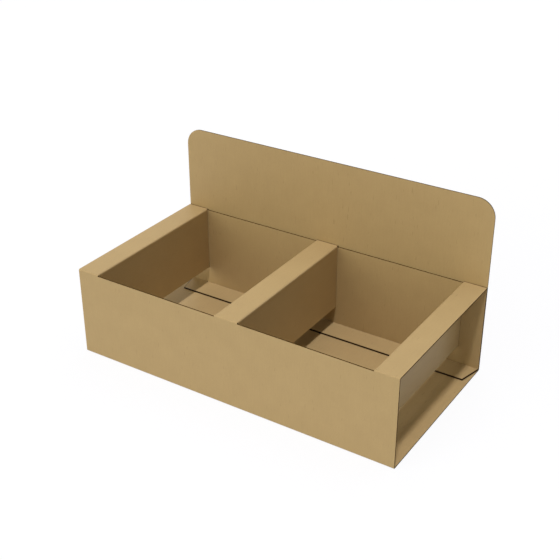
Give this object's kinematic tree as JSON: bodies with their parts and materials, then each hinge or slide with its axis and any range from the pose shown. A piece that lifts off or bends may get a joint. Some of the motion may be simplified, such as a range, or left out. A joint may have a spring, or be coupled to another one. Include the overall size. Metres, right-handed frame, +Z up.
{
  "type": "counter display stand",
  "caption": "Folded kraft card counter display with open compartments between fold-down walls, open ends and a rounded header panel rising from the back.",
  "frame": {"origin": "middle of the underside of the floor panel", "axes": "+Z up, front towards -Y, header at +Y, length along X"},
  "size_m": [0.29, 0.151, 0.1516],
  "materials": {
    "kraft_card": "uncoated matte kraft with darker cut edges"
  },
  "bodies": {
    "root": {"display_stand": "kraft_card"}
  },
  "joints": []
}
